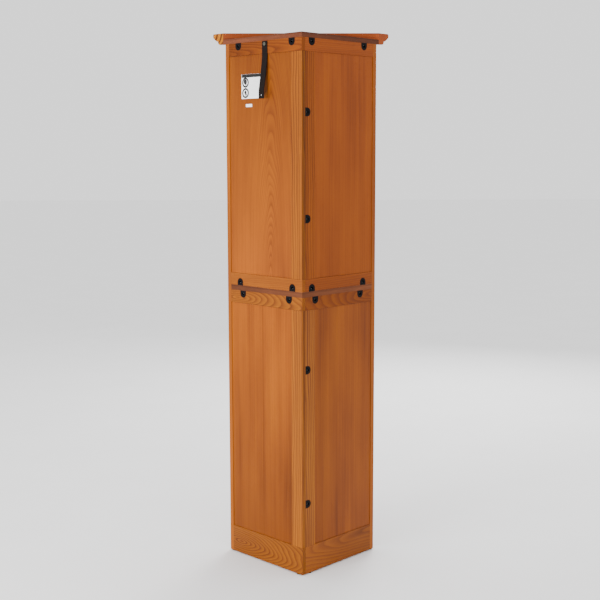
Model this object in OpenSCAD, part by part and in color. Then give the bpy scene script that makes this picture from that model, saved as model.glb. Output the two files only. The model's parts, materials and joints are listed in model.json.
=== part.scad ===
// Corner pantry cabinet: two frame-and-panel walls meeting at a square back corner,
// a flat front across the diagonal with an upper and a lower door, a top board and
// a crown moulding. Origin at the middle of the footprint on the floor, +Z up,
// the doors face -Y and the back corner points to +Y.

/* [Case] */
// length of each wall panel from the back corner, mm
wall_w = 367; // [300:1:450]
// depth of the front frame from the back corner, mm
front_depth = 273.5; // [260:0.5:340]
// underside of the top board above the floor, mm
case_top = 1791; // [1500:1:2000]
// underside of the mid board above the floor, mm
mid_z = 952; // [700:1:1100]
// thickness of the mid board, mm
mid_t = 18; // [12:1:25]
// thickness of the top board, mm
top_t = 16; // [12:1:25]
// thickness of the bottom board, mm
bottom_t = 16; // [12:1:25]
// top of the bottom board above the floor, mm
floor_z = 90; // [60:1:120]
// thickness of the shelves, mm
shelf_t = 15; // [12:1:22]

/* [Wall panels] */
// thickness of the rails and stiles, mm
panel_t = 15; // [12:1:22]
// width of a post as seen from the wall side, mm
post_w = 20; // [16:1:30]
// width of a post on the front, mm
post_face = 50; // [40:1:70]
// rear stile width on the lapping wall, mm
stile_w = 50; // [40:1:70]
// top of the tall bottom rail above the floor, mm
base_rail_top = 98; // [80:1:140]
// top rail height of the upper wall panels, mm
upper_top_rail = 43.5; // [35:0.5:60]
// bottom rail height of the upper wall panels, mm
upper_bottom_rail = 42; // [35:0.5:60]
// top rail height of the lower wall panels, mm
lower_top_rail = 44; // [35:0.5:60]
// how far the fields sit behind the frame's outer face, mm
recess = 2; // [1:0.5:8]
// thickness of the fields, mm
field_t = 6; // [4:0.5:8]
// depth of the grooves that hold the fields, mm
groove = 8; // [5:0.5:12]
// height of the glides, mm
glide_h = 4; // [3:1:10]

/* [Crown] */
// depth of the crown's back face from the back corner, mm
crown_back = 266; // [250:0.5:300]
// depth of the crown's nose from the back corner, mm
crown_nose = 302.5; // [280:0.5:340]
// height of the crown, mm
crown_h = 38; // [25:1:60]

/* [Doors] */
// thickness of the doors, mm
door_t = 19; // [15:1:25]
// width of the door stiles and rails, mm
door_frame = 55; // [40:1:75]
// gap round each door, mm
door_gap = 2; // [1.5:0.1:4]
// distance from a door's end to the middle of its hinge, mm
hinge_inset = 110; // [70:5:160]
// length of a hinge, mm
hinge_l = 60; // [40:5:90]
// diameter of a hinge pin, mm
pin_d = 3; // [2:0.5:5]

/* [Fittings] */
// width of a connector housing, mm
conn_w = 28; // [20:1:34]
// height of a connector housing from its flat side, mm
conn_h = 24.5; // [20:0.5:30]
// depth of a connector housing, mm
conn_t = 11; // [8:0.5:13]
// width of the anti-tip strap, mm
strap_w = 25; // [20:1:40]
// length of the anti-tip strap, mm
strap_l = 187; // [120:1:260]
// thickness of the anti-tip strap, mm
strap_t = 1.6; // [1:0.1:3]
// how far the strap's free end stands off the wall panel, mm
strap_off = 17; // [5:1:30]

/* [Hidden] */
$fn = 48;
rt2 = sqrt(2);
yc = crown_nose / 2;
total_h = case_top + crown_h;
mid_top = mid_z + mid_t;
post_split = mid_z + mid_t / 2;
run = wall_w - post_w;
front_sum = front_depth * rt2;
side_d = front_sum - wall_w;
frame_t = 20;
half_open = (wall_w - side_d) / rt2 - post_face;
back_frame = front_depth - frame_t;
low_stile = panel_t + 45;
upper_field_lo = mid_top + upper_bottom_rail;
upper_field_hi = case_top - upper_top_rail;
lower_field_hi = mid_z - lower_top_rail;
upper_door_lo = mid_top + door_gap;
upper_door_hi = case_top - upper_top_rail - door_gap;
lower_door_lo = floor_z + door_gap;
lower_door_hi = mid_z - door_gap;
door_half = half_open - door_gap;
door_back = front_depth - door_t;
panel_front = front_depth - 6.5;
hinge_x = -half_open + door_gap / 2;
hinge_y_depth = front_depth + 3.2;
knuckle_r = 3;
leaf_t = 1.8;
mortise = 1;
knob_x = door_half - door_frame / 2;
upper_knob_z = 1120;
lower_knob_z = 815;
shelf_front = back_frame - 1;
shelf_zs = [1235, 1500, 500];
conn_upper_u = [46, 300];
conn_lower_u = [62, 286];
corner_z = [1555, 1210, 708, 248];
strap_u = 170;
strap_z = 1779.5;
strap_top = 1789;
conn_c = conn_h - conn_w / 2;
conn_tilt = 20;

// ---- placing on the walls: u runs along the wall from the corner, d goes inward ----

function sg(side) = side == "right" ? -1 : 1;

module place(side) {
  translate([0, yc, 0])
    rotate([0, 0, side == "right" ? -45 : 225])
      children();
}

module wbox(side, u0, u1, d0, d1, z0, z1) {
  s = sg(side);
  place(side)
    translate([u0, min(s * d0, s * d1), z0])
      cube([u1 - u0, d1 - d0, z1 - z0]);
}

module wcyl_d(side, u, z, d0, d1, r) {
  s = sg(side);
  place(side)
    translate([u, s * d0, z])
      rotate([s > 0 ? -90 : 90, 0, 0])
        cylinder(h = d1 - d0, r = r);
}

module wcyl_z(side, u, d, z0, z1, r) {
  s = sg(side);
  place(side)
    translate([u, s * d, z0])
      cylinder(h = z1 - z0, r = r);
}

// plan polygon given as [u, d] pairs on one wall
module wprism(side, pts, z0, z1) {
  s = sg(side);
  place(side)
    translate([0, 0, z0])
      linear_extrude(height = z1 - z0)
        polygon([for (p = pts) [p[0], s * p[1]]]);
}

// box across the front: x from x0 to x1, depth from the corner k0 to k1
module fbox(x0, x1, k0, k1, z0, z1) {
  translate([x0, yc - k1, z0])
    cube([x1 - x0, k1 - k0, z1 - z0]);
}

// round bar along the depth
module fcyl(x, z, k0, k1, r) {
  translate([x, yc - k0, z])
    rotate([90, 0, 0])
      cylinder(h = k1 - k0, r = r);
}

// round bar along x
module xcyl(x0, x1, k, z, r) {
  translate([x0, yc - k, z])
    rotate([0, 90, 0])
      cylinder(h = x1 - x0, r = r);
}

// ---- knock-down connectors ----

// D shape on a wall: its flat side at zf, the round side away from it
module d_flat(side, u, zf, way, grow) {
  r = conn_w / 2 + grow;
  c = zf - way * conn_c;
  lo = min(c, zf);
  hi = max(c, zf);
  intersection() {
    wcyl_d(side, u, c, 0, conn_t, r);
    wbox(side, u - r, u + r, 0, conn_t, way > 0 ? c - r : c, way > 0 ? c : c + r);
  }
  wbox(side, u - r, u + r, 0, conn_t, lo, hi);
}

// D shape on the left wall with its flat side against the right wall's panel
module d_corner(z) {
  r = conn_w / 2;
  c = panel_t + conn_c;
  intersection() {
    wcyl_d("left", c, z, 0, conn_t, r);
    wbox("left", c, c + r, 0, conn_t, z - r, z + r);
  }
  wbox("left", panel_t, c, 0, conn_t, z - r, z + r);
}

module tilt_bar(side, u, d, z, way, t0, t1, r) {
  s = sg(side);
  place(side)
    translate([u, s * d, z])
      rotate([way > 0 ? -s * conn_tilt : 180 + s * conn_tilt, 0, 0])
        translate([0, 0, t0])
          cylinder(h = t1 - t0, r = r);
}

module tilt_bar_corner(z, t0, t1, r) {
  place("left")
    translate([panel_t + conn_c + 0.5, 3.6, z])
      rotate([0, 0, -conn_tilt])
        rotate([0, -90, 0])
          translate([0, 0, t0])
            cylinder(h = t1 - t0, r = r);
}

module flat_screw(side, u, zf, way, extra) {
  z = zf - way * (conn_c + 0.5);
  tilt_bar(side, u, 3.6, z, way, 2.4, 24 + extra, 2 + extra / 20);
  if (extra == 0) tilt_bar(side, u, 3.6, z, way, 0, 2.5, 3.4);
}

module corner_screw(z, extra) {
  tilt_bar_corner(z, 2.4, 22 + extra, 2 + extra / 20);
  if (extra == 0) tilt_bar_corner(z, 0, 2.5, 3.4);
}

module all_flat_pockets(side) {
  for (u = conn_upper_u) {
    d_flat(side, u, case_top, 1, 0);
    d_flat(side, u, mid_top, -1, 0);
  }
  for (u = conn_lower_u) {
    d_flat(side, u, mid_z, 1, 0);
  }
}

module all_flat_screws(side, extra) {
  for (u = conn_upper_u) {
    flat_screw(side, u, case_top, 1, extra);
    flat_screw(side, u, mid_top, -1, extra);
  }
  for (u = conn_lower_u) {
    flat_screw(side, u, mid_z, 1, extra);
  }
}

module connector_housings() {
  color([0.13, 0.12, 0.14])
    difference() {
      union() {
        all_flat_pockets("right");
        all_flat_pockets("left");
        for (z = corner_z) d_corner(z);
      }
      for (side = ["right", "left"]) {
        for (u = conn_upper_u) {
          wcyl_d(side, u, case_top - conn_c, -1, 8.5, 5);
          wcyl_d(side, u, mid_top + conn_c, -1, 8.5, 5);
        }
        for (u = conn_lower_u) {
          wcyl_d(side, u, mid_z - conn_c, -1, 8.5, 5);
        }
        all_flat_screws(side, 1);
      }
      for (z = corner_z) {
        wcyl_d("left", panel_t + conn_c, z, -1, 8.5, 5);
        corner_screw(z, 1);
      }
    }
}

module connector_screws() {
  color([0.3, 0.3, 0.33]) {
    all_flat_screws("right", 0);
    all_flat_screws("left", 0);
    for (z = corner_z) corner_screw(z, 0);
  }
}

// ---- wall panels ----

function u_start(side) = side == "right" ? 0 : panel_t;
function stile_end(side) = side == "right" ? stile_w : low_stile;

// frame rail with a groove along one edge and a tongue into the post
module wall_rail(side, z0, z1, groove_z) {
  u0 = u_start(side);
  difference() {
    union() {
      wbox(side, u0, run, 0, panel_t, z0, z1);
      wbox(side, run - 1, run + groove, recess, recess + field_t, z0, z1);
    }
    wbox(side, u0 + 8, run + groove + 1, recess, recess + field_t,
      groove_z, groove_z + groove);
  }
}

module upper_top_rail_of(side) {
  color([0.66, 0.4, 0.2])
    difference() {
      wall_rail(side, upper_field_hi, case_top, upper_field_hi);
      all_flat_pockets(side);
      if (side == "right") wcyl_d(side, strap_u, strap_z, -1, 13, 2.27);
    }
}

module upper_bottom_rail_of(side) {
  color([0.66, 0.4, 0.2])
    difference() {
      wall_rail(side, mid_top, upper_field_lo, upper_field_lo - groove);
      all_flat_pockets(side);
    }
}

module lower_top_rail_of(side) {
  color([0.66, 0.4, 0.2])
    difference() {
      wall_rail(side, lower_field_hi, mid_z, lower_field_hi);
      all_flat_pockets(side);
    }
}

module lower_bottom_rail_of(side) {
  gu = side == "right" ? 24.6 : 42;
  color([0.66, 0.4, 0.2])
    difference() {
      wall_rail(side, glide_h, base_rail_top, base_rail_top - groove);
      wbox(side, side == "right" ? panel_t - 3 : -1, run + 1, panel_t - 3, panel_t + 1,
        floor_z - bottom_t, floor_z);
      wcyl_z(side, gu, 7.5, 0, glide_h + 12, 1.4);
    }
}

module pin_holes_stile(side) {
  u = side == "right" ? 30 : 45;
  for (z = shelf_zs) wcyl_d(side, u, z - 2.5, panel_t - 8, panel_t + 1, 2.5);
}

module rear_stile_of(side, z0, z1) {
  u0 = u_start(side);
  u1 = stile_end(side);
  color([0.6, 0.35, 0.18])
    difference() {
      union() {
        wbox(side, u0, u1, 0, panel_t, z0, z1);
        wbox(side, u0 + 8, u1 - 1, recess, recess + field_t, z0 - groove, z1 + groove);
      }
      wbox(side, u1 - groove, u1 + 1, recess, recess + field_t,
        z0 - groove - 1, z1 + groove + 1);
      pin_holes_stile(side);
      if (side == "left") {
        for (z = corner_z) {
          d_corner(z);
        }
      }
      if (side == "right") {
        for (z = corner_z) {
          corner_screw(z, 0.2);
        }
      }
    }
}

module field_of(side, z0, z1) {
  color([0.72, 0.43, 0.2])
    wbox(side, stile_end(side) - groove + 0.5, run + groove - 0.5,
      recess, recess + field_t, z0 - groove + 0.5, z1 + groove - 0.5);
}

function round_pts(r) = [for (a = [0 : 22.5 : 90])
  [wall_w - r + r * sin(a), r - r * cos(a)]];

function post_plan() = let(
    face = post_face / rt2,
    fx = wall_w - face,
    fd = side_d + face,
    bx = fx - frame_t / rt2,
    bd = fd - frame_t / rt2,
    hook = back_frame * rt2 - panel_t
  ) concat(
    [[run, 0]],
    round_pts(5),
    [[wall_w, side_d], [fx, fd], [bx, bd], [hook, panel_t], [run, panel_t]]
  );

module post_of(side, z0, z1) {
  sx = side == "right" ? 1 : -1;
  pin_x = 213;
  color([0.7, 0.42, 0.2])
    difference() {
      wprism(side, post_plan(), z0, z1);
      wbox(side, run - 1, run + groove, recess, recess + field_t, z0 - 1, z1 + 1);
      for (z = shelf_zs) fcyl(sx * pin_x, z - 2.5, back_frame - 1, back_frame + 8, 2.5);
      wcyl_z(side, 358, 11, 0, glide_h + 12, 1.4);
      if (side == "left") {
        hinge_pockets(-half_open);
      }
    }
}

// ---- boards ----

// plan of a board reaching the walls at distance e and the front at depth k
module tri_board(e, k, z0, z1) {
  a = e * rt2;
  translate([0, 0, z0])
    linear_extrude(height = z1 - z0)
      polygon([[0, yc - a], [-(k - a), yc - k], [k - a, yc - k]]);
}

module top_board() {
  color([0.55, 0.33, 0.2])
    difference() {
      tri_board(0, crown_back, case_top, case_top + top_t);
      for (side = ["right", "left"]) all_flat_screws(side, 0.2);
    }
}

// board between the posts, with its front edge flush with the front frame
module inner_board(e, z0, z1) {
  h = back_frame * rt2;
  pu = h - panel_t;
  a = e * rt2;
  w = run;
  pts = [
    [0, yc - a],
    [-(w - e) / rt2, yc - (w + e) / rt2],
    [-(w - panel_t) / rt2, yc - (w + panel_t) / rt2],
    [-(pu - panel_t) / rt2, yc - back_frame],
    [-half_open, yc - back_frame],
    [-half_open, yc - front_depth],
    [half_open, yc - front_depth],
    [half_open, yc - back_frame],
    [(pu - panel_t) / rt2, yc - back_frame],
    [(w - panel_t) / rt2, yc - (w + panel_t) / rt2],
    [(w - e) / rt2, yc - (w + e) / rt2]
  ];
  translate([0, 0, z0])
    linear_extrude(height = z1 - z0)
      polygon(pts);
}

module mid_board() {
  color([0.6, 0.36, 0.2])
    difference() {
      inner_board(0, mid_z, mid_top);
      for (side = ["right", "left"]) all_flat_screws(side, 0.2);
    }
}

module bottom_board() {
  color([0.6, 0.36, 0.2])
    tri_cut_board(panel_t - 3, back_frame + 5, floor_z - bottom_t, floor_z);
}

// board housed in the wall rails, its front edge housed between the posts
module tri_cut_board(e, k, z0, z1) {
  a = e * rt2;
  h = back_frame;
  w = h - a;
  pts = [
    [0, yc - a],
    [-w, yc - h],
    [-half_open, yc - h],
    [-half_open, yc - k],
    [half_open, yc - k],
    [half_open, yc - h],
    [w, yc - h]
  ];
  translate([0, 0, z0])
    linear_extrude(height = z1 - z0)
      polygon(pts);
}

function crown_pts() = let(b = crown_back, n = crown_nose, h = crown_h) concat(
  [[b, 0], [b + 12, 0]],
  [for (i = [1 : 5]) let(t = 90 * i / 5)
    [b + 12 + 7 * sin(t), 10 * (1 - cos(t))]],
  [[b + 19, 11.5], [b + 22.5, 12]],
  [for (i = [1 : 8]) let(t = i / 8)
    [b + 22.5 + (n - b - 22.5) * (0.75 * t + 0.25 * sin(90 * t)),
      12 + 14.5 * (0.8 * t + 0.2 * (1 - cos(90 * t)))]],
  [[n, h - 5]],
  [for (i = [1 : 4]) let(t = 90 * i / 4)
    [n - 3.5 * (1 - cos(t)), h - 5 + 5 * sin(t)]],
  [[b, h]]
);

module crown_moulding() {
  color([0.65, 0.35, 0.15])
    difference() {
      translate([-crown_nose, yc, case_top])
        rotate([90, 0, 90])
          linear_extrude(height = 2 * crown_nose)
            polygon([for (p = crown_pts()) [-p[0], p[1]]]);
      for (side = ["right", "left"]) {
        wbox(side, -10, 2 * crown_nose, -200, 0, case_top - 1, total_h + 1);
      }
    }
}

module header_rail() {
  color([0.66, 0.4, 0.2])
    fbox(-half_open, half_open, back_frame, front_depth, upper_field_hi, case_top);
}

module toe_rail() {
  color([0.66, 0.4, 0.2])
    difference() {
      fbox(-half_open, half_open, back_frame, front_depth, glide_h, floor_z);
      fbox(-half_open - 1, half_open + 1, back_frame - 1, back_frame + 5,
        floor_z - bottom_t, floor_z + 1);
    }
}

// ---- shelves ----

module shelf(z) {
  e = panel_t + 1;
  a = e * rt2;
  w = shelf_front - a;
  tip = 224;
  translate([0, 0, z])
    linear_extrude(height = shelf_t)
      polygon([
        [0, yc - a],
        [-tip, yc - a - tip],
        [-tip, yc - shelf_front],
        [tip, yc - shelf_front],
        [tip, yc - a - tip]
      ]);
}

module upper_shelf_high() { color([0.7, 0.45, 0.25]) shelf(shelf_zs[1]); }
module upper_shelf_low() { color([0.7, 0.45, 0.25]) shelf(shelf_zs[0]); }
module lower_shelf() { color([0.7, 0.45, 0.25]) shelf(shelf_zs[2]); }

module shelf_pins() {
  color([0.75, 0.72, 0.6])
    for (z = shelf_zs) {
      wcyl_d("right", 30, z - 2.5, panel_t - 8, panel_t + 10, 2.5);
      wcyl_d("left", 45, z - 2.5, panel_t - 8, panel_t + 10, 2.5);
      fcyl(213, z - 2.5, back_frame - 10, back_frame + 8, 2.5);
      fcyl(-213, z - 2.5, back_frame - 10, back_frame + 8, 2.5);
    }
}

// ---- feet, labels, catches ----

module glide(side, u, d) {
  wcyl_z(side, u, d, 0, glide_h, 7);
  wcyl_z(side, u, d, glide_h - 1, glide_h + 12, 1.25);
}

module foot_glides() {
  color([0.12, 0.11, 0.11]) {
    glide("right", 24.6, 7.5);
    glide("right", 358, 11);
    glide("left", 42, 7.5);
    glide("left", 358, 11);
  }
}

module paper_labels() {
  color([0.95, 0.95, 0.94]) {
    wbox("right", 189, 287, recess - 0.2, recess, 1605, 1686);
    wbox("right", 236, 266, recess - 0.2, recess, 1577.5, 1587);
  }
}

module door_catches() {
  color([0.25, 0.2, 0.16]) {
    fbox(110, 155, door_back - 16, door_back - 1, mid_top, mid_top + 12);
    fbox(110, 155, door_back - 16, door_back - 1, mid_z - 12, mid_z);
  }
}

// ---- hinges ----

function hinge_zs(lo, hi) = [lo + hinge_inset, hi - hinge_inset];
function all_hinge_zs() = concat(
  hinge_zs(upper_door_lo, upper_door_hi),
  hinge_zs(lower_door_lo, lower_door_hi)
);

// mortises for the leaves in the edge at x
module hinge_pockets(x) {
  for (zc = all_hinge_zs()) {
    fbox(x - mortise, x + mortise, front_depth - 18, front_depth + 1,
      zc - hinge_l / 2, zc + hinge_l / 2);
    for (dz = [-18, 18]) {
      xcyl(x - 15, x + 15, front_depth - 10, zc + dz, 1.52);
    }
  }
}

// plate and knuckles of one leaf; part 0 is the fixed one, part 1 the moving one
module leaf(zc, part) {
  third = hinge_l / 3;
  x0 = part == 0 ? -half_open - mortise : hinge_x + 0.2;
  z0 = zc - hinge_l / 2;
  spans = part == 0 ? [[z0, z0 + third - 0.1], [zc + third / 2 + 0.1, zc + hinge_l / 2]]
    : [[zc - third / 2 + 0.1, zc + third / 2 - 0.1]];
  bore = pin_d / 2 + (part == 0 ? 0.02 : 0.06);
  mx = part == 0 ? x0 + leaf_t : x0;
  dirx = part == 0 ? -1 : 1;
  difference() {
    union() {
      fbox(x0, x0 + leaf_t, front_depth - 18, front_depth - 0.4, z0, z0 + hinge_l);
      for (sp = spans) {
        fbox(x0, x0 + leaf_t, front_depth - 1, hinge_y_depth, sp[0], sp[1]);
        translate([hinge_x, yc - hinge_y_depth, sp[0]])
          cylinder(h = sp[1] - sp[0], r = knuckle_r);
      }
    }
    translate([hinge_x, yc - hinge_y_depth, z0 - 1])
      cylinder(h = hinge_l + 2, r = bore);
    for (dz = [-18, 18]) {
      xcyl(x0 - 1, x0 + leaf_t + 1, front_depth - 10, zc + dz, 1.6);
      translate([mx, yc - front_depth + 10, zc + dz])
        rotate([0, dirx * 90, 0])
          cylinder(h = 1.4, r1 = 3.05, r2 = 1.65);
    }
  }
}

// countersunk wood screw driven along x from the leaf's open face
module leaf_screw(zc, part) {
  x0 = part == 0 ? -half_open - mortise : hinge_x + 0.2;
  mx = part == 0 ? x0 + leaf_t : x0;
  dirx = part == 0 ? -1 : 1;
  for (dz = [-18, 18]) {
    translate([mx, yc - front_depth + 10, zc + dz])
      rotate([0, dirx * 90, 0]) {
        cylinder(h = 1.4, r1 = 3, r2 = 1.5);
        cylinder(h = 14, r = 1.5);
      }
  }
}

module fixed_hinge_leaves() {
  color([0.35, 0.28, 0.2])
    for (zc = all_hinge_zs()) leaf(zc, 0);
}

module fixed_hinge_screws() {
  color([0.4, 0.33, 0.25])
    for (zc = all_hinge_zs()) leaf_screw(zc, 0);
}

module hinge_pins() {
  color([0.4, 0.33, 0.25])
    for (zc = all_hinge_zs()) {
      translate([hinge_x, yc - hinge_y_depth, zc - hinge_l / 2])
        cylinder(h = hinge_l, r = pin_d / 2);
      translate([hinge_x, yc - hinge_y_depth, zc + hinge_l / 2])
        cylinder(h = 2.5, r1 = 3, r2 = 1.6);
      translate([hinge_x, yc - hinge_y_depth, zc - hinge_l / 2 - 2.5])
        cylinder(h = 2.5, r1 = 1.6, r2 = 3);
    }
}

// ---- doors ----

module hinge_stile(lo, hi) {
  color([0.7, 0.42, 0.2])
    difference() {
      fbox(-door_half, -door_half + door_frame, door_back, front_depth, lo, hi);
      fbox(-door_half + door_frame - groove, -door_half + door_frame + 1,
        panel_front - 6, panel_front, lo - 1, hi + 1);
      hinge_pockets(-door_half);
    }
}

module latch_stile(lo, hi, kz) {
  color([0.7, 0.42, 0.2])
    difference() {
      fbox(door_half - door_frame, door_half, door_back, front_depth, lo, hi);
      fbox(door_half - door_frame - 1, door_half - door_frame + groove,
        panel_front - 6, panel_front, lo - 1, hi + 1);
      fcyl(knob_x, kz, door_back - 1, front_depth + 1, 2.1);
    }
}

// door rail between the stiles with stub tenons in their grooves
module door_rail(z0, z1, gz) {
  w = door_half - door_frame;
  color([0.68, 0.4, 0.2])
    difference() {
      union() {
        fbox(-w, w, door_back, front_depth, z0, z1);
        fbox(-w - groove, w + groove, panel_front - 6, panel_front, z0, z1);
      }
      fbox(-w - groove - 1, w + groove + 1, panel_front - 6, panel_front, gz, gz + groove);
    }
}

module door_panel(lo, hi) {
  w = door_half - door_frame + groove - 0.5;
  color([0.72, 0.43, 0.2])
    fbox(-w, w, panel_front - 6, panel_front,
      lo + door_frame - groove + 0.5, hi - door_frame + groove - 0.5);
}

module knob(kz) {
  color([0.3, 0.2, 0.14])
    difference() {
      union() {
        fcyl(knob_x, kz, front_depth, front_depth + 2, 9);
        fcyl(knob_x, kz, front_depth + 1, front_depth + 12, 6);
        translate([knob_x, yc - front_depth - 11, kz])
          rotate([90, 0, 0])
            cylinder(h = 5, r1 = 6, r2 = 15);
        fcyl(knob_x, kz, front_depth + 16, front_depth + 21, 15);
        translate([knob_x, yc - front_depth - 21, kz])
          rotate([90, 0, 0])
            cylinder(h = 4, r1 = 15, r2 = 9);
      }
      fcyl(knob_x, kz, front_depth - 1, front_depth + 14, 2.02);
    }
}

module knob_screw(kz) {
  color([0.6, 0.6, 0.6]) {
    fcyl(knob_x, kz, door_back, front_depth + 12, 2);
    fcyl(knob_x, kz, door_back - 2, door_back, 4.5);
  }
}

module door_leaves(lo, hi) {
  color([0.35, 0.28, 0.2])
    for (zc = hinge_zs(lo, hi)) leaf(zc, 1);
}

module door_leaf_screws(lo, hi) {
  color([0.4, 0.33, 0.25])
    for (zc = hinge_zs(lo, hi)) leaf_screw(zc, 1);
}

module strike(z0) {
  color([0.6, 0.6, 0.6])
    fbox(115, 150, door_back - 0.7, door_back, z0, z0 + 12);
}

// ---- strap ----

module strap_screw() {
  color([0.7, 0.7, 0.68]) {
    wcyl_d("right", strap_u, strap_z, -strap_t - 0.1, 12, 2.25);
    wcyl_d("right", strap_u, strap_z, -strap_t - 2.6, -strap_t - 0.1, 5.5);
  }
}

// how far the strap stands off at a fraction of its length from the top
function strap_bow(f) = let(g = max(0, (f - 0.24) / 0.63))
  strap_off * (g >= 1 ? 1 : pow(g, 1.2));

module anti_tip_strap() {
  steps = 23;
  inner = [for (i = [0 : steps]) [strap_bow(i / steps), strap_top - strap_l * i / steps]];
  outer = [for (i = [steps : -1 : 0])
    [strap_bow(i / steps) + strap_t, strap_top - strap_l * i / steps]];
  color([0.13, 0.13, 0.14])
    difference() {
      place("right")
        translate([strap_u + strap_w / 2, 0, 0])
          rotate([90, 0, -90])
            linear_extrude(height = strap_w)
              polygon([for (p = concat(inner, outer)) [-p[0], p[1]]]);
      wcyl_d("right", strap_u, strap_z, -5, 1, 2.3);
      wcyl_d("right", strap_u, strap_top - strap_l + 11, -strap_off - 5, -5, 1.75);
    }
}

// ---- named nodes ----

module upper_right_field() { field_of("right", upper_field_lo, upper_field_hi); }
module upper_right_rear_stile() { rear_stile_of("right", upper_field_lo, upper_field_hi); }
module upper_right_top_rail() { upper_top_rail_of("right"); }
module upper_right_bottom_rail() { upper_bottom_rail_of("right"); }
module upper_right_post() { post_of("right", post_split, case_top); }
module upper_left_field() { field_of("left", upper_field_lo, upper_field_hi); }
module upper_left_rear_stile() { rear_stile_of("left", upper_field_lo, upper_field_hi); }
module upper_left_top_rail() { upper_top_rail_of("left"); }
module upper_left_bottom_rail() { upper_bottom_rail_of("left"); }
module upper_left_post() { post_of("left", post_split, case_top); }
module lower_right_field() { field_of("right", base_rail_top, lower_field_hi); }
module lower_right_rear_stile() { rear_stile_of("right", base_rail_top, lower_field_hi); }
module lower_right_top_rail() { lower_top_rail_of("right"); }
module lower_right_bottom_rail() { lower_bottom_rail_of("right"); }
module lower_right_post() { post_of("right", glide_h, post_split); }
module lower_left_field() { field_of("left", base_rail_top, lower_field_hi); }
module lower_left_rear_stile() { rear_stile_of("left", base_rail_top, lower_field_hi); }
module lower_left_top_rail() { lower_top_rail_of("left"); }
module lower_left_bottom_rail() { lower_bottom_rail_of("left"); }
module lower_left_post() { post_of("left", glide_h, post_split); }

module upper_door_hinge_stile() { hinge_stile(upper_door_lo, upper_door_hi); }
module upper_door_latch_stile() { latch_stile(upper_door_lo, upper_door_hi, upper_knob_z); }
module upper_door_top_rail() {
  door_rail(upper_door_hi - door_frame, upper_door_hi, upper_door_hi - door_frame);
}
module upper_door_bottom_rail() {
  door_rail(upper_door_lo, upper_door_lo + door_frame, upper_door_lo + door_frame - groove);
}
module upper_door_panel() { door_panel(upper_door_lo, upper_door_hi); }
module upper_door_knob() { knob(upper_knob_z); }
module upper_door_knob_screw() { knob_screw(upper_knob_z); }
module upper_door_hinge_leaves() { door_leaves(upper_door_lo, upper_door_hi); }
module upper_door_hinge_screws() { door_leaf_screws(upper_door_lo, upper_door_hi); }
module upper_door_strike() { strike(upper_door_lo); }
module lower_door_hinge_stile() { hinge_stile(lower_door_lo, lower_door_hi); }
module lower_door_latch_stile() { latch_stile(lower_door_lo, lower_door_hi, lower_knob_z); }
module lower_door_top_rail() {
  door_rail(lower_door_hi - door_frame, lower_door_hi, lower_door_hi - door_frame);
}
module lower_door_bottom_rail() {
  door_rail(lower_door_lo, lower_door_lo + door_frame, lower_door_lo + door_frame - groove);
}
module lower_door_panel() { door_panel(lower_door_lo, lower_door_hi); }
module lower_door_knob() { knob(lower_knob_z); }
module lower_door_knob_screw() { knob_screw(lower_knob_z); }
module lower_door_hinge_leaves() { door_leaves(lower_door_lo, lower_door_hi); }
module lower_door_hinge_screws() { door_leaf_screws(lower_door_lo, lower_door_hi); }
module lower_door_strike() { strike(lower_door_hi - 12); }

upper_right_field();
upper_right_rear_stile();
upper_right_top_rail();
upper_right_bottom_rail();
upper_right_post();
upper_left_field();
upper_left_rear_stile();
upper_left_top_rail();
upper_left_bottom_rail();
upper_left_post();
lower_right_field();
lower_right_rear_stile();
lower_right_top_rail();
lower_right_bottom_rail();
lower_right_post();
lower_left_field();
lower_left_rear_stile();
lower_left_top_rail();
lower_left_bottom_rail();
lower_left_post();
top_board();
mid_board();
bottom_board();
crown_moulding();
header_rail();
toe_rail();
upper_shelf_high();
upper_shelf_low();
lower_shelf();
shelf_pins();
connector_housings();
connector_screws();
foot_glides();
paper_labels();
door_catches();
fixed_hinge_leaves();
hinge_pins();
fixed_hinge_screws();
strap_screw();
anti_tip_strap();
upper_door_hinge_stile();
upper_door_latch_stile();
upper_door_top_rail();
upper_door_bottom_rail();
upper_door_panel();
upper_door_knob();
upper_door_knob_screw();
upper_door_hinge_leaves();
upper_door_hinge_screws();
upper_door_strike();
lower_door_hinge_stile();
lower_door_latch_stile();
lower_door_top_rail();
lower_door_bottom_rail();
lower_door_panel();
lower_door_knob();
lower_door_knob_screw();
lower_door_hinge_leaves();
lower_door_hinge_screws();
lower_door_strike();
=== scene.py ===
import json
import math
import random

import bmesh
import bpy
from mathutils import Matrix, Vector


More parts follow.
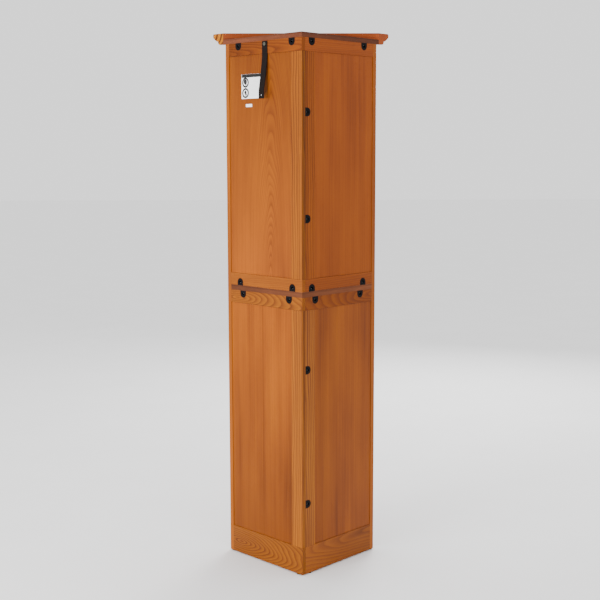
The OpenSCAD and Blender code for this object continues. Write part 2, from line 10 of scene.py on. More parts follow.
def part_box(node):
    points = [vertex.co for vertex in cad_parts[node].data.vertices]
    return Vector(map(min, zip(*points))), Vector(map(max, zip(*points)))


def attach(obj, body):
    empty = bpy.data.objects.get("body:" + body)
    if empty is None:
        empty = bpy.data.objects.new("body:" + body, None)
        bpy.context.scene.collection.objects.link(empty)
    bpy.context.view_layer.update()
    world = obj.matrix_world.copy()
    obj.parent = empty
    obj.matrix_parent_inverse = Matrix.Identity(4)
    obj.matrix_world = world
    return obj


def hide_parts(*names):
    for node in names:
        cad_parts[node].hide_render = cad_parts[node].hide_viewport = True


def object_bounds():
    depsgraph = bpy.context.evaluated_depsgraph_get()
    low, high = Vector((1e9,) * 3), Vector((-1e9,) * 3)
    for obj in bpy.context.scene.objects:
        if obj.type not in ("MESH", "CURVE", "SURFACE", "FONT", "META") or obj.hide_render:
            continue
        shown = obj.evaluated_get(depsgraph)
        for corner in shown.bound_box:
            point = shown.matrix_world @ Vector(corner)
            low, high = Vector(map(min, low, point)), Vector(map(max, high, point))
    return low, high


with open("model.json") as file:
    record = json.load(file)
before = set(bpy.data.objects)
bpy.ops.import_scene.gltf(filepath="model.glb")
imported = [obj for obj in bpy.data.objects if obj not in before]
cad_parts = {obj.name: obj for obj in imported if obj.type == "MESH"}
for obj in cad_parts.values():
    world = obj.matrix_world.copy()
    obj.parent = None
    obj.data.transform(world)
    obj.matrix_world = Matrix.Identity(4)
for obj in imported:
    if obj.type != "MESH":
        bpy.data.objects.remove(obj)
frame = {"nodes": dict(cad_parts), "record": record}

cad_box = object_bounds()
CORNER_Y = cad_box[1].y
BODY_OF = {n: body for body, nodes in frame["record"]["behaviour"]["bodies"].items() for n in nodes}
SLOT_OF = {part["node"]: part["material_slot"] for part in frame["record"]["subparts"]}

ROOT_2 = math.sqrt(2)
X, Y, Z = Vector((1, 0, 0)), Vector((0, 1, 0)), Vector((0, 0, 1))
# each wall's direction away from the back corner, and the way its outer face looks
WALL = {
    "right": (Vector((1, -1, 0)) / ROOT_2, Vector((1, 1, 0)) / ROOT_2),
    "left": (Vector((-1, -1, 0)) / ROOT_2, Vector((-1, 1, 0)) / ROOT_2),
}


def axes(grain, face):
    """Rotation whose x runs along the grain and whose z looks out of the show face."""
    return Matrix((grain, face.cross(grain), face)).transposed()


def link(obj):
    bpy.context.scene.collection.objects.link(obj)
    return obj


# ---------------------------------------------------------------- node helpers

class Nodes:
    """A material's node tree with short calls; a value is a socket or a constant."""

    def __init__(self, name):
        self.mat = bpy.data.materials.new(name)
        self.mat.use_nodes = True
        self.tree = self.mat.node_tree
        self.tree.nodes.clear()
        out = self.tree.nodes.new("ShaderNodeOutputMaterial")
        self.bsdf = self.tree.nodes.new("ShaderNodeBsdfPrincipled")
        self.tree.links.new(self.bsdf.outputs[0], out.inputs[0])

    def new(self, kind, **props):
        n = self.tree.nodes.new(kind)
        for k, v in props.items():
            setattr(n, k, v)
        return n

    def put(self, socket, value):
        if isinstance(value, bpy.types.NodeSocket):
            self.tree.links.new(value, socket)
        else:
            socket.default_value = value

    def math(self, op, a, b=0.0, c=None, clamp=False):
        n = self.new("ShaderNodeMath", operation=op, use_clamp=clamp)
        self.put(n.inputs[0], a)
        self.put(n.inputs[1], b)
        if c is not None:
            self.put(n.inputs[2], c)
        return n.outputs[0]

    def centred(self, value, swing):
        """A value from 0 to 1 turned into one from -swing to swing."""
        return self.math("MULTIPLY_ADD", value, 2 * swing, -swing)

    def between(self, value, low, high):
        """1 where the value lies between two limits, and 0 elsewhere."""
        above = self.math("GREATER_THAN", value, low)
        return self.math("MULTIPLY", above, self.math("LESS_THAN", value, high))

    def choose(self, mask, factor, other=1.0):
        """The factor where the mask is 1, and the other factor where it is 0."""
        return self.math("MULTIPLY_ADD", mask, factor - other, other)

    def slide(self, value, start, factor, end, end_factor):
        """A factor that changes evenly as the value goes from start to end."""
        n = self.new("ShaderNodeMapRange")
        self.put(n.inputs["Value"], value)
        n.inputs["From Min"].default_value = start
        n.inputs["To Min"].default_value = factor
        n.inputs["From Max"].default_value = end
        n.inputs["To Max"].default_value = end_factor
        return n.outputs[0]

    def place(self, kind="Object"):
        """A texture coordinate of the piece: its own frame, or its surface's normal."""
        return self.new("ShaderNodeTexCoord").outputs[kind]

    def coords(self, offset=(0, 0, 0), scale=(1, 1, 1), source=None):
        n = self.new("ShaderNodeMapping")
        n.inputs["Location"].default_value = offset
        n.inputs["Scale"].default_value = scale
        self.put(n.inputs["Vector"], source or self.place())
        return n.outputs[0]

    def split(self, vector):
        n = self.new("ShaderNodeSeparateXYZ")
        self.put(n.inputs[0], vector)
        return n.outputs

    def join(self, x=0.0, y=0.0, z=0.0):
        n = self.new("ShaderNodeCombineXYZ")
        for socket, value in zip(n.inputs, (x, y, z)):
            self.put(socket, value)
        return n.outputs[0]

    def length(self, vector):
        n = self.new("ShaderNodeVectorMath", operation="LENGTH")
        self.put(n.inputs[0], vector)
        return n.outputs["Value"]

    def along(self, vector, direction):
        n = self.new("ShaderNodeVectorMath", operation="DOT_PRODUCT")
        self.put(n.inputs[0], vector)
        n.inputs[1].default_value = direction
        return n.outputs["Value"]

    def noise(self, vector, scale=1.0, detail=2.0, rough=0.5):
        n = self.new("ShaderNodeTexNoise")
        self.put(n.inputs["Vector"], vector)
        n.inputs["Scale"].default_value = scale
        n.inputs["Detail"].default_value = detail
        n.inputs["Roughness"].default_value = rough
        return n.outputs[0]

    def ramp(self, value, stops):
        n = self.new("ShaderNodeValToRGB")
        self.put(n.inputs[0], value)
        elements = n.color_ramp.elements
        while len(elements) < len(stops):
            elements.new(0.5)
        for element, (position, color) in zip(elements, stops):
            element.position = position
            element.color = (*color, 1)
        return n.outputs[0]

    def mix(self, share, a, b, blend="MIX"):
        n = self.new("ShaderNodeMix", data_type="RGBA", blend_type=blend)
        self.put(n.inputs[0], share)
        self.put(n.inputs[6], (*a, 1) if isinstance(a, tuple) else a)
        self.put(n.inputs[7], (*b, 1) if isinstance(b, tuple) else b)
        return n.outputs[2]

    def shaded(self, color, factor):
        """The color with all its channels multiplied by a factor."""
        n = self.new("ShaderNodeCombineColor")
        for socket in list(n.inputs)[:3]:
            self.put(socket, factor)
        return self.mix(1.0, color, n.outputs[0], "MULTIPLY")

    def finish(self, color, roughness, gloss, relief, strength, distance):
        """Send a color, a roughness and a relief to the shader, and return the material."""
        self.put(self.bsdf.inputs["Base Color"], color)
        self.put(self.bsdf.inputs["Roughness"], roughness)
        self.bsdf.inputs["Specular IOR Level"].default_value = gloss
        n = self.new("ShaderNodeBump")
        n.inputs["Strength"].default_value = strength
        n.inputs["Distance"].default_value = distance
        self.put(n.inputs["Height"], relief)
        self.tree.links.new(n.outputs[0], self.bsdf.inputs["Normal"])
        return self.mat


def grey(v):
    return (v, v, v)


def tint(color, factor, warm=0.0, blue=1.0):
    """A color made lighter or darker by a factor, and redder by warm, with its blue scaled."""
    red = min(1, color[0] * factor * (1 + warm))
    return (red, color[1] * factor * (1 - 0.5 * warm), color[2] * factor * (1 - warm) * blue)


# ---------------------------------------------------------------- stained oak

DARK = (0.100, 0.023, 0.006)
MID = (0.195, 0.046, 0.0055)
GOLD = (0.270, 0.069, 0.0045)

# in metres: how far the log's pith sways and ripples, half the width of a glue line, the spacing of the
# rings on a raw end, the height above a board's middle where its upper ply starts, and the grain's depth
SWAY = 0.02
RIPPLE = 0.006
GLUE_LINE = 0.0022
END_RING = 0.0135
UPPER_PLY = 0.003
WOOD_RELIEF = 0.0004
# factors on the stain: in a board's upper and lower plies, and on the end at -x, painted shade that also
# stands for stain that end grain soaks up
UPPER_PLY_SHADE = 0.84
LOWER_PLY_SHADE = 1.06
SOAKED_AND_SHADED_END = 0.8
# noise above this level is a pore, which is this strong at the start of a ring and weaker later in it
PORE_LEVEL = 0.63
PORE_STRENGTH = 0.42
PORE_FADE = 0.55
# where each growth ring is light or dark, from its start at 0 to the next ring at 1
RING_SHADES = ((0.0, 0), (0.2, 0.30), (0.5, 0.72), (0.85, 1), (1.0, 0.5))
# the lightness of wood with no rings
EVEN_LIGHT = 0.55
DULL_GLOSS = 0.08


def board_edge(n, shift, base, fade):
    """Stained edge of a veneered board: mottled, darker in its upper ply, and with painted light and shade
    along it.
    """
    x, _, z = n.split(n.coords())
    cloud = n.noise(n.coords(shift, (14, 14, 60)), detail=3.0, rough=0.6)
    grain = n.noise(n.coords(shift, (60, 60, 900)), detail=3.0, rough=0.6)
    light = n.math("ADD", n.math("MULTIPLY", cloud, 0.6), n.math("MULTIPLY", grain, 0.4))
    color = n.ramp(light, [(0.25, tint(base, 0.72)), (0.5, base), (0.75, tint(base, 1.3))])
    ply = n.choose(n.math("GREATER_THAN", z, UPPER_PLY), UPPER_PLY_SHADE, LOWER_PLY_SHADE)
    # painted light and shade along the edge, times the ply's factor
    return n.shaded(color, n.math("MULTIPLY", n.slide(x, *fade), ply))


def raw_end(n, color, nx, reach, light, dark):
    """Growth rings on the end at +x, painted lighter as the lit end; the end at -x gets painted shade, partly
    for stain that end grain soaks up.
    """
    ring = n.math("FRACT", n.math("DIVIDE", reach, END_RING))
    sawn = n.ramp(ring, [(0.0, light), (0.45, light), (0.68, dark), (0.84, dark), (1.0, light)])
    color = n.mix(n.math("GREATER_THAN", nx, 0.5), color, sawn)
    # the end at -x gets painted shade, partly for stain soaked into end grain
    return n.shaded(color, n.choose(n.math("LESS_THAN", nx, -0.5), SOAKED_AND_SHADED_END))


def growth(n, shift, pith, slope):
    """Distance from the log's pith, which sways and ripples along the board."""
    x, y, z = n.split(n.coords())
    sway = n.noise(n.coords(shift, (2.2, 9, 9)))
    ripple = n.noise(n.coords((shift[1], shift[2], shift[0]), (5, 22, 22)))
    across = n.math("ADD", n.math("SUBTRACT", y, pith[0]), n.centred(ripple, RIPPLE))
    depth = n.math("SUBTRACT", n.centred(sway, SWAY), z)
    below = n.math("ADD", n.math("MULTIPLY_ADD", x, slope, pith[1]), depth)
    return n.length(n.join(y=across, z=below))


def shade_across(n, color, y, strips, glued):
    """Shade strips across a board, and then all that lies beyond each glue line, and the line itself."""
    for y0, y1, factor in strips:
        color = n.shaded(color, n.choose(n.between(y, y0, y1), factor))
    for y0, factor, line in glued:
        beyond = n.choose(n.math("GREATER_THAN", y, y0), factor)
        glue = n.math("LESS_THAN", n.math("ABSOLUTE", n.math("SUBTRACT", y, y0)), GLUE_LINE)
        color = n.shaded(color, n.math("MULTIPLY_ADD", glue, -line, beyond))
    return color


def oak(name, seed, contrast=0.5, pith=(0.0, 0.06), slope=0.02, ring=0.006, tone=1.0, warm=0.0, blue=1.0,
        streak=0.5, blotch=0.34, lines=1.0, rough=0.42, fade=None, strips=(), glued=(), band=None, ends=None):
    """Stained oak cut from a log whose pith lies at pith = (across, below the face).

    fade = (x0, factor, x1, factor) paints light and shade along the board's grain. strips = ((y0, y1,
    factor), ...)
    shades bands across it, and glued = ((y0, factor, line), ...) all beyond a glue line of some darkness.
    band = (color, fade) finishes the narrow sides, except the front, as a veneered board's edge.
    ends = (color, darker color) paints end-grain rings on the end at +x, lighter as the lit end, and painted
    shade on the end at -x.
    """
    rnd = random.Random(seed)
    n = Nodes(name)
    shift = (rnd.uniform(-3, 3), rnd.uniform(-3, 3), rnd.uniform(-3, 3))
    x, y, _ = n.split(n.coords())
    reach = growth(n, shift, pith, slope)
    saw = n.math("FRACT", n.math("DIVIDE", reach, ring))
    rings = n.ramp(saw, [(at, grey(shade)) for at, shade in RING_SHADES])

    flow = n.join(x, reach)
    streaks = n.noise(n.coords(shift, (1.6, 130, 1), flow), detail=4.0, rough=0.6)
    bands = n.noise(n.coords(shift, (0.9, 26, 1), flow))
    pores = n.noise(n.coords(shift, (45, 1500, 1500)), rough=0.6)
    cloud = n.noise(n.coords(shift, (2.2, 9, 9)))

    light = n.math("MULTIPLY_ADD", n.math("SUBTRACT", rings, EVEN_LIGHT), contrast, EVEN_LIGHT)
    light = n.math("ADD", light, n.centred(streaks, streak / 2))
    light = n.math("ADD", light, n.centred(bands, streak / 2))
    light = n.math("ADD", light, n.centred(cloud, blotch), clamp=True)
    shades = [tint(c, tone, warm, blue) for c in (DARK, MID, GOLD)]
    color = n.ramp(light, list(zip((0.0, 0.5, 1.0), shades)))
    if fade:
        # painted light and shade along the grain
        color = n.shaded(color, n.slide(x, *fade))
    color = shade_across(n, color, y, strips, glued)
    soft_wood = n.math("SUBTRACT", 1.0, n.math("MULTIPLY", rings, PORE_FADE))
    pit = n.math("MULTIPLY", n.math("GREATER_THAN", pores, PORE_LEVEL), soft_wood)
    color = n.mix(n.math("MULTIPLY", pit, PORE_STRENGTH * lines), color, tint(DARK, 0.6 * tone, warm))
    if band or ends:
        nx, ny, nz = n.split(n.place("Normal"))
    if band:
        narrow = n.math("LESS_THAN", n.math("ABSOLUTE", nz), 0.5)
        behind = n.math("MULTIPLY", narrow, n.math("GREATER_THAN", ny, -0.9))
        color = n.mix(behind, color, board_edge(n, shift, *band))
    if ends:
        color = raw_end(n, color, nx, reach, *ends)
    polish = n.math("MULTIPLY_ADD", streaks, 0.16, rough - 0.08)
    roughness = n.math("ADD", polish, n.math("MULTIPLY", pit, 0.2))
    relief = n.math("SUBTRACT", n.math("MULTIPLY", rings, 0.25), n.math("MULTIPLY", pit, 0.8))
    relief = n.math("ADD", relief, n.math("MULTIPLY", streaks, 0.35))
    return n.finish(color, roughness, DULL_GLOSS, relief, 0.35 * lines, WOOD_RELIEF)


# ---------------------------------------------------------------- pieces

WOOD_EASE = 0.0007
DOOR_EASE = 0.001
SAME_POINT = 2e-6


def cad_mesh(node, home):
    """The node's CAD shape as a mesh with its flat faces whole, in the frame of home."""
    bm = bmesh.new()
    bm.from_mesh(frame["nodes"][node].data)
    bmesh.ops.remove_doubles(bm, verts=bm.verts, dist=SAME_POINT)
    bmesh.ops.dissolve_limit(bm, angle_limit=math.radians(0.5), verts=bm.verts, edges=bm.edges)
    bm.transform(home.inverted())
    bmesh.ops.recalc_face_normals(bm, faces=bm.faces)
    mesh = bpy.data.meshes.new(node + "_piece")
    bm.to_mesh(mesh)
    bm.free()
    for face in mesh.polygons:
        face.use_smooth = True
    return mesh


def softened(node, turn, mat, ease=WOOD_EASE):
    """A piece with the node's CAD shape and eased arrises, in coordinates along its grain."""
    low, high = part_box(node)
    home = Matrix.Translation((low + high) / 2) @ turn.to_4x4()
    piece = link(bpy.data.objects.new(node + "_piece", cad_mesh(node, home)))
    piece.data.materials.append(mat)
    piece.matrix_world = home
    bevel = piece.modifiers.new("ease", "BEVEL")
    bevel.width = ease
    bevel.segments = 2
    bevel.limit_method = "ANGLE"
    bevel.angle_limit = math.radians(32)
    bevel.use_clamp_overlap = True
    normals = piece.modifiers.new("normals", "WEIGHTED_NORMAL")
    normals.keep_sharp = True
    normals.weight = 60
    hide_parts(node)
    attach(piece, BODY_OF[node])
    return piece


# ---------------------------------------------------------------- wall panels

# factor on the blue in each wall's colour: a painted tint that stands in for how the light falls on that wall
WALL_LIGHTING_BLUE = {"right": 0.72, "left": 1.25}

RAIL = {
    "upper_right_top_rail": dict(
        seed=11, contrast=0.6, pith=(0.016, 0.035), slope=-0.09, ring=0.0065, tone=0.72, warm=0.05,
        fade=(-0.16, 1.22, 0.16, 0.84)),
    "upper_right_bottom_rail": dict(
        seed=12, contrast=0.3, pith=(0.06, 0.03), slope=0.03, ring=0.005, tone=1.24, warm=-0.06),
    "lower_right_top_rail": dict(
        seed=13, contrast=0.9, pith=(0.002, 0.03), slope=-0.2, ring=0.0062, warm=-0.06),
    "lower_right_bottom_rail": dict(
        seed=14, contrast=0.85, pith=(0.004, 0.045), slope=-0.25, ring=0.0066, warm=-0.08),
    "upper_left_top_rail": dict(
        seed=15, contrast=0.3, pith=(0.05, 0.03), slope=0.04, ring=0.006, tone=1.15, warm=0.06),
    "upper_left_bottom_rail": dict(
        seed=16, contrast=0.3, pith=(0.05, 0.04), slope=0.02, ring=0.006, tone=0.95, warm=0.05),
    "lower_left_top_rail": dict(
        seed=17, contrast=0.5, pith=(0.004, 0.04), slope=-0.18, ring=0.008, tone=0.8, warm=0.03),
    "lower_left_bottom_rail": dict(
        seed=18, contrast=0.45, pith=(0.03, 0.05), slope=-0.08, ring=0.008, tone=1.22, warm=-0.08,
        fade=(-0.17, 1.1, 0.17, 0.82)),
}
# widths of the painted shade under a top rail, and along a bottom rail's upper edge of a painted shade line,
# partly dirt, and of the painted highlight beside it
FOOT_WIDTH = 0.0012
FOOT_SHADE = {"right": 0.5, "left": 0.8}
LEDGE_DIRT_AND_SHADE = 0.0008
LEDGE_HIGHLIGHT = 0.0032


def ledge_lines(side, half, top_rail):
    """Painted shade and highlight strips at the rail's edge by the field; a rail's y points up on the left
    wall and down on the right.
    """
    if top_rail:
        lines = [(-half, -half + FOOT_WIDTH, FOOT_SHADE[side])]
    else:
        # a line of painted shade, partly dirt, at the edge, and a painted highlight beside it
        lines = [(half - LEDGE_DIRT_AND_SHADE, half, 0.45), (half - LEDGE_HIGHLIGHT, half - LEDGE_DIRT_AND_SHADE, 1.12)]
    if side == "left":
        return lines
    return [(-high, -low, factor) for low, high, factor in lines]


for node, looks in RAIL.items():
    side = "right" if "_right_" in node else "left"
    low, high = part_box(node)
    lines = ledge_lines(side, (high.z - low.z) / 2, "top_rail" in node)
    softened(node, axes(*WALL[side]), oak("oak_" + node, strips=lines, blue=WALL_LIGHTING_BLUE[side], **looks))

PLAIN_SAWN = dict(contrast=0.08, pith=(0.3, 0.03), slope=0.01, ring=0.011)
FIELD = {
    "upper_right": dict(contrast=0.45, pith=(-0.046, 0.052), slope=0.1, ring=0.0045, blotch=0.5,
                        fade=(-0.36, 1.33, 0.36, 0.82)),
    "upper_left": dict(PLAIN_SAWN, blotch=0.55, tone=1.07, warm=0.05, fade=(-0.36, 0.95, 0.36, 1.10)),
    "lower_right": dict(PLAIN_SAWN, contrast=0.06, blotch=0.55, tone=1.08, blue=0.55,
                        fade=(-0.36, 0.80, 0.36, 1.2), glued=((-0.008, 0.97, 0.24),)),
    "lower_left": dict(PLAIN_SAWN, blotch=0.5, tone=1.18, warm=-0.03, glued=((0.03, 0.95, 0.1),),
                       strips=((0.084, 0.136, 0.94),)),
}
STILE = {
    "upper_right": dict(tone=1.22, warm=-0.07, strips=((-1, -0.0245, 0.68),)),
    "lower_right": dict(tone=1.28, warm=-0.09, strips=((-1, -0.0245, 0.82),)),
    "upper_left": dict(tone=0.91, warm=0.04, strips=((0.0095, 1, 0.86),)),
    "lower_left": dict(tone=1.42, warm=-0.12),
}
PANEL_SEED = {"upper_right": 30, "upper_left": 35, "lower_right": 40, "lower_left": 45}

for panel, seed in PANEL_SEED.items():
    side = panel.split("_")[1]
    upright = axes(Z, WALL[side][1])
    # the wall's painted light tint on the blue
    blue = WALL_LIGHTING_BLUE[side]
    softened(f"{panel}_rear_stile", upright,
             oak(f"oak_{panel}_rear_stile", seed, contrast=0.8, pith=(0.05, 0.04), slope=0.015, ring=0.0085,
                 streak=1.1, blue=blue, **STILE[panel]))
    softened(f"{panel}_post", upright,
             oak(f"oak_{panel}_post", seed + 1, contrast=0.4, pith=(0.03, 0.03), slope=0.02, ring=0.005,
                 streak=0.7, tone=1.26, warm=-0.04, blue=blue))
    softened(f"{panel}_field", upright,
             oak(f"oak_{panel}_field", seed + 2, streak=0.68, lines=0.8, rough=0.4,
                 **{"blue": blue, **FIELD[panel]}))


# ---------------------------------------------------------------- boards, rails and doors

LONG = {
    "crown_moulding": dict(
        seed=70, contrast=0.4, pith=(0.03, 0.05), slope=0.02, ring=0.006, tone=0.95, warm=0.1, blue=2.2,
        fade=(-0.3, 1.7, 0.3, 1.05), ends=((0.36, 0.118, 0.005), (0.08, 0.018, 0.004))),
    "header_rail": dict(seed=71, contrast=0.45, pith=(0.02, 0.04), slope=0.06, ring=0.007),
    "toe_rail": dict(seed=72, contrast=0.6, pith=(0.0, 0.05), slope=0.12, ring=0.008),
    "top_board": dict(
        seed=73, contrast=0.3, pith=(0.02, 0.1), slope=0.03, ring=0.012,
        band=((0.110, 0.032, 0.014), (-0.2, 0.72, 0.2, 1.22))),
    "mid_board": dict(
        seed=74, contrast=0.3, pith=(-0.03, 0.1), slope=0.03, ring=0.012,
        band=((0.108, 0.032, 0.012), (-0.2, 1.45, 0.2, 0.78))),
    "bottom_board": dict(seed=75, contrast=0.2, pith=(0.1, 0.1), slope=0.01, ring=0.012),
    "upper_shelf_high": dict(seed=76, contrast=0.3, pith=(0.0, 0.1), slope=0.04, ring=0.012),
    "upper_shelf_low": dict(seed=77, contrast=0.3, pith=(0.05, 0.1), slope=0.03, ring=0.012),
    "lower_shelf": dict(seed=78, contrast=0.3, pith=(-0.04, 0.1), slope=0.04, ring=0.012),
}
for node, looks in LONG.items():
    face = Z if "board" in node or "shelf" in node else -Y
    softened(node, axes(X, face), oak("oak_" + node, **looks))

DOOR = {
    "hinge_stile": dict(contrast=0.4, pith=(0.04, 0.04), slope=0.02, ring=0.006, streak=0.7),
    "latch_stile": dict(contrast=0.4, pith=(-0.03, 0.03), slope=0.03, ring=0.005, streak=0.7),
    "top_rail": dict(contrast=0.45, pith=(0.02, 0.04), slope=0.08, ring=0.006),
    "bottom_rail": dict(contrast=0.5, pith=(-0.01, 0.05), slope=-0.1, ring=0.007),
}
DOOR_PANEL = {
    "upper": dict(contrast=0.5, pith=(0.012, 0.06), slope=0.07, ring=0.011, blotch=0.45),
    "lower": dict(contrast=0.42, pith=(-0.03, 0.085), slope=-0.08, ring=0.009, blotch=0.5),
}
for level, first_seed in (("upper", 80), ("lower", 90)):
    pieces = {**DOOR, "panel": DOOR_PANEL[level]}
    for seed, (part, looks) in enumerate(pieces.items(), first_seed):
        turn = axes(X if part.endswith("rail") else Z, -Y)
        softened(f"{level}_door_{part}", turn, oak(f"oak_{level}_door_{part}", seed, **looks), DOOR_EASE)


# ---------------------------------------------------------------- fittings, label and strap

def mottled(name, color, rough=0.5, metal=0.0, scale=600.0, relief=0.0001, speck=0.25, gloss=0.3):
    """Moulded, painted or plated surface with faint mottling."""
    n = Nodes(name)
    fine = n.noise(n.coords(), scale, 3.0, 0.6)
    broad = n.noise(n.coords(), scale * 0.08)
    dark = tuple(c * (1 - speck) for c in color)
    light = tuple(min(1, c * (1 + speck)) for c in color)
    n.bsdf.inputs["Metallic"].default_value = metal
    roughness = n.math("MULTIPLY_ADD", fine, 0.2, rough - 0.1)
    return n.finish(n.ramp(broad, [(0.3, dark), (0.7, light)]), roughness, gloss, fine, 0.3, relief)


# the label's place on the right wall: along the wall from the back corner, and above the floor
LABEL_START, LABEL_END = 0.189, 0.287
LABEL_LOW, LABEL_HIGH = 1.605, 1.686
BAND_HEIGHT = 0.0112
MARK_FROM_END = 0.0195
MARK_OUTSIDE, MARK_INSIDE = 0.0168, 0.0106
# each mark's depth below the label's top, and the size of its blot
MARKS = ((0.0275, 0.0082), (0.0620, 0.0056))
RULE_PITCH = 0.0042
RULE_SHARE = 0.30


def printed_label(name):
    """White paper with a black band, two ringed blots and pale rules; the rest of the paper stays blank."""
    n = Nodes(name)
    along_wall = WALL["right"][0]
    u = n.math("SUBTRACT", n.along(n.place(), along_wall), CORNER_Y * along_wall.y + LABEL_START)
    v = n.math("SUBTRACT", n.along(n.place(), Z), LABEL_LOW)
    wide, high = LABEL_END - LABEL_START, LABEL_HIGH - LABEL_LOW

    def inside(u0, u1, v0, v1):
        return n.math("MULTIPLY", n.between(u, u0, u1), n.between(v, v0, v1))

    def distance(u0, v0):
        return n.length(n.join(n.math("SUBTRACT", u, u0), n.math("SUBTRACT", v, v0)))

    paper = n.noise(n.coords(), 900.0, 3.0, 0.6)
    color = n.ramp(paper, [(0.3, grey(0.90)), (0.7, grey(0.98))])
    color = n.mix(inside(0.001, wide - 0.001, high - BAND_HEIGHT, high - 0.0002), color, grey(0.002))
    for drop, blot_size in MARKS:
        mark_u, mark_v = wide - MARK_FROM_END, high - drop
        ring = n.between(distance(mark_u, mark_v), MARK_INSIDE, MARK_OUTSIDE)
        color = n.mix(ring, color, grey(0.004))
        blot = n.math("LESS_THAN", distance(mark_u + 0.0005, mark_v + 0.0022), blot_size)
        foot = n.math("LESS_THAN", distance(mark_u - 0.002, mark_v - 0.0045), 0.0042)
        color = n.mix(n.math("MAXIMUM", blot, foot), color, grey(0.008))
    rules = n.math("LESS_THAN", n.math("FRACT", n.math("DIVIDE", v, RULE_PITCH)), RULE_SHARE)
    ruled = n.math("MULTIPLY", rules, inside(0.005, wide - 0.037, 0.006, high - 0.016))
    color = n.mix(n.math("MULTIPLY", ruled, 0.4), color, grey(0.45))
    return n.finish(color, n.math("MULTIPLY_ADD", paper, 0.2, 0.4), 0.3, paper, 0.2, 0.0001)


# half the spacing of the strap's ribs, and the width of the columns in which they slant
RIB = 0.0006
RIB_COLUMN = 0.0016


def webbing(name, color):
    """Woven strap: ribs that slant one way and the other in narrow columns."""
    n = Nodes(name)
    x, y, _ = n.split(n.coords())
    column = n.math("PINGPONG", y, RIB_COLUMN)
    rib = n.math("DIVIDE", n.math("PINGPONG", n.math("ADD", x, column), RIB), RIB)
    fuzz = n.noise(n.coords(scale=(300, 900, 900)), detail=3.0, rough=0.6)
    light = n.math("ADD", n.math("MULTIPLY", rib, 0.6), n.math("MULTIPLY", fuzz, 0.4))
    woven = n.ramp(light, [(0.2, tint(color, 0.7)), (0.8, tint(color, 1.35))])
    return n.finish(woven, n.math("MULTIPLY_ADD", fuzz, 0.15, 0.75), DULL_GLOSS, light, 0.6, 0.0003)


# each slot's material, and how far its edges are eased; the label's sheets keep their sharp edges
PLAIN = {
    "black_plastic": (mottled("black_plastic", (0.0026, 0.0023, 0.0031), 0.45, gloss=0.06), 0.0004),
    "brown_plastic": (mottled("brown_plastic", (0.045, 0.022, 0.013), 0.5), 0.0004),
    "dark_steel": (mottled("dark_steel", (0.05, 0.05, 0.055), 0.35, 0.9, speck=0.3), 0.00015),
    "zinc_steel": (mottled("zinc_steel", (0.42, 0.42, 0.40), 0.36, 1.0, speck=0.1), 0.0003),
    "bronzed_steel": (mottled("bronzed_steel", (0.12, 0.075, 0.045), 0.38, 0.85, speck=0.35), 0.0003),
    "bronzed_knob": (mottled("bronzed_knob", (0.10, 0.062, 0.038), 0.34, 0.85, speck=0.35), 0.0006),
    "brass_pins": (mottled("brass_pins", (0.72, 0.52, 0.22), 0.3, 1.0, speck=0.1), 0.0003),
    "black_webbing": (webbing("black_webbing", (0.0085, 0.0056, 0.0050)), 0.0002),
    "label_paper": (printed_label("label_paper"), 0),
}
AGED_STEEL = mottled("aged_screw", (0.085, 0.083, 0.062), 0.5, 0.3, gloss=0.2)

# the cross recess in a screw head: half the width of an arm, its reach and its depth as shares of the
# head's radius, its size at the bottom, and how far above the head the cut starts, in metres
CROSS_WIDTH = 0.15
CROSS_ARM = 0.55
CROSS_DEPTH = 0.42
CROSS_TAPER = 0.7
CROSS_ABOVE = 0.0005


def loose_parts(bm):
    """The points of each solid in a mesh of several."""
    left = set(bm.verts)
    for start in bm.verts:
        if start not in left:
            continue
        part, todo = [], [start]
        left.remove(start)
        while todo:
            v = todo.pop()
            part.append(v.co.copy())
            near = [e.other_vert(v) for e in v.link_edges if e.other_vert(v) in left]
            left.difference_update(near)
            todo += near
        yield part


def screw_head(part):
    """Middle of a screw's head face, the way it looks, and its radius."""
    mid = sum(part, Vector()) / len(part)
    axis = max(part, key=lambda p: (p - mid).length) - mid
    for _ in range(20):
        axis = sum(((p - mid) * (p - mid).dot(axis) for p in part), Vector()).normalized()
    reach = [(p - mid).dot(axis) for p in part]
    width = [((p - mid) - axis * t).length for p, t in zip(part, reach)]
    if max(w for w, t in zip(width, reach) if t < 0) > max(w for w, t in zip(width, reach) if t > 0):
        axis = -axis
        reach = [-t for t in reach]
    return mid + axis * max(reach), axis, max(width)


def add_cross(bm, top, axis, radius):
    """Add a tapered cross, from just above the head down into it."""
    w, arm = CROSS_WIDTH * radius, CROSS_ARM * radius
    plus = [(w, arm), (-w, arm), (-w, w), (-arm, w), (-arm, -w), (-w, -w),
            (-w, -arm), (w, -arm), (w, -w), (arm, -w), (arm, w), (w, w)]
    a = axis.orthogonal().normalized()
    b = axis.cross(a)

    def row(height, size):
        return [bm.verts.new(top + axis * height + (a * x + b * y) * size) for x, y in plus]

    upper, lower = row(CROSS_ABOVE, 1.0), row(-CROSS_DEPTH * radius, CROSS_TAPER)
    bm.faces.new(upper)
    bm.faces.new(lower[::-1])
    for i in range(len(plus)):
        j = (i + 1) % len(plus)
        bm.faces.new((upper[j], upper[i], lower[i], lower[j]))


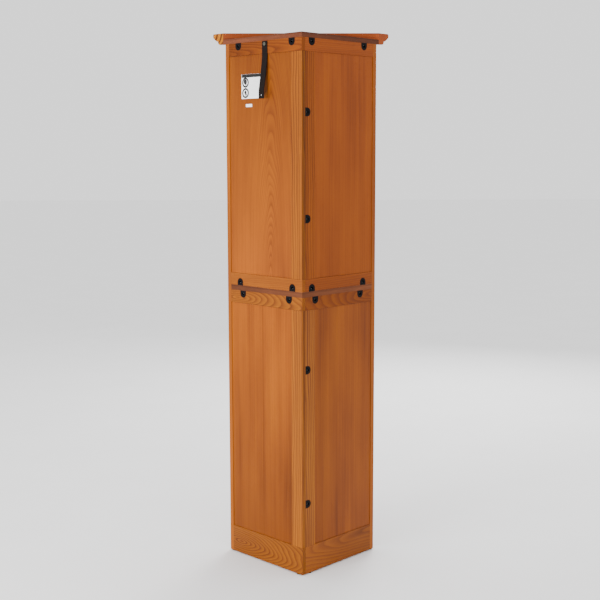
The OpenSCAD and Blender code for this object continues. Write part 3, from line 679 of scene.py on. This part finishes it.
def cross_recess(node, piece):
    """Cut a cross recess into the head of every screw of a piece."""
    bm, cut = bmesh.new(), bmesh.new()
    bm.from_mesh(piece.data)
    for part in loose_parts(bm):
        add_cross(cut, *screw_head(part))
    bm.free()
    bmesh.ops.recalc_face_normals(cut, faces=cut.faces)
    tool = link(bpy.data.objects.new(node + "_recess", bpy.data.meshes.new(node + "_recess")))
    cut.to_mesh(tool.data)
    cut.free()
    tool.matrix_world = piece.matrix_world
    recess = piece.modifiers.new("recess", "BOOLEAN")
    recess.operation = "DIFFERENCE"
    recess.solver = "EXACT"
    recess.object = tool
    after_bevel = 1
    piece.modifiers.move(len(piece.modifiers) - 1, after_bevel)
    depsgraph = bpy.context.evaluated_depsgraph_get()
    made = bpy.data.meshes.new_from_object(piece.evaluated_get(depsgraph))
    piece.modifiers.clear()
    piece.data = made
    bpy.data.objects.remove(tool)


for node, cad_piece in list(frame["nodes"].items()):
    if SLOT_OF[node] not in PLAIN:
        continue
    mat, ease = PLAIN[SLOT_OF[node]]
    if not ease:
        cad_piece.data.materials.clear()
        cad_piece.data.materials.append(mat)
        continue
    turn = axes(Z, WALL["right"][1]) if node == "anti_tip_strap" else axes(X, -Y)
    piece = softened(node, turn, AGED_STEEL if node == "strap_screw" else mat, ease)
    if "screw" in node:
        cross_recess(node, piece)


# ---------------------------------------------------------------- floor, light, camera

FLOOR_REACH = 30.0
WORLD_LIGHT = 1.45

floor_mesh = bpy.data.meshes.new("floor")
floor_corners = [(-FLOOR_REACH, -FLOOR_REACH, 0), (FLOOR_REACH, -FLOOR_REACH, 0),
                 (FLOOR_REACH, FLOOR_REACH, 0), (-FLOOR_REACH, FLOOR_REACH, 0)]
floor_mesh.from_pydata(floor_corners, [], [(0, 1, 2, 3)])
floor_mesh.materials.append(mottled("pale_floor", grey(0.93), 0.75, scale=40, relief=0.0002, speck=0.01))
link(bpy.data.objects.new("floor", floor_mesh))

world = bpy.data.worlds.new("studio")
bpy.context.scene.world = world
world.use_nodes = True
background = world.node_tree.nodes["Background"]
background.inputs["Color"].default_value = (1, 1, 1, 1)
background.inputs["Strength"].default_value = WORLD_LIGHT


def lamp(name, at, to, size, power):
    """A round soft light at one point that looks at another."""
    data = bpy.data.lights.new(name, "AREA")
    data.shape = "DISK"
    data.size = size
    data.energy = power
    light = link(bpy.data.objects.new(name, data))
    light.location = at
    light.rotation_euler = (Vector(to) - Vector(at)).to_track_quat("-Z", "Y").to_euler()


lamp("key", at=(3.0, 2.6, 1.1), to=(0.1, 0, 0.9), size=1.6, power=175)
lamp("fill", at=(-2.4, 3.6, 1.6), to=(-0.1, 0, 0.9), size=2.0, power=5)
lamp("front", at=(-1.2, -3.4, 2.4), to=(0, 0, 0.9), size=2.0, power=120)

# the eye is measured from the back corner along the left and right walls, and up from the floor;
# yaw turns from the left wall's direction towards the right wall's
EYE = Vector((-2.57106, -2.51951, 1.42479))
YAW, PITCH, ROLL = 0.7773, 0.1323, -0.0019
from_walls = Matrix((WALL["left"][0], WALL["right"][0], Z)).transposed()
forward = Vector((math.cos(YAW) * math.cos(PITCH), math.sin(YAW) * math.cos(PITCH), -math.sin(PITCH)))
level = Vector((math.sin(YAW), -math.cos(YAW), 0))
above = level.cross(forward)
right = math.cos(ROLL) * level + math.sin(ROLL) * above
up = math.cos(ROLL) * above - math.sin(ROLL) * level

camera_data = bpy.data.cameras.new("camera")
camera_data.sensor_width = 36
camera_data.lens = 66.43
camera = link(bpy.data.objects.new("camera", camera_data))
turn = from_walls @ Matrix((right, up, -forward)).transposed()
camera.matrix_world = Matrix.Translation(from_walls @ EYE + Y * CORNER_Y) @ turn.to_4x4()
bpy.context.scene.camera = camera
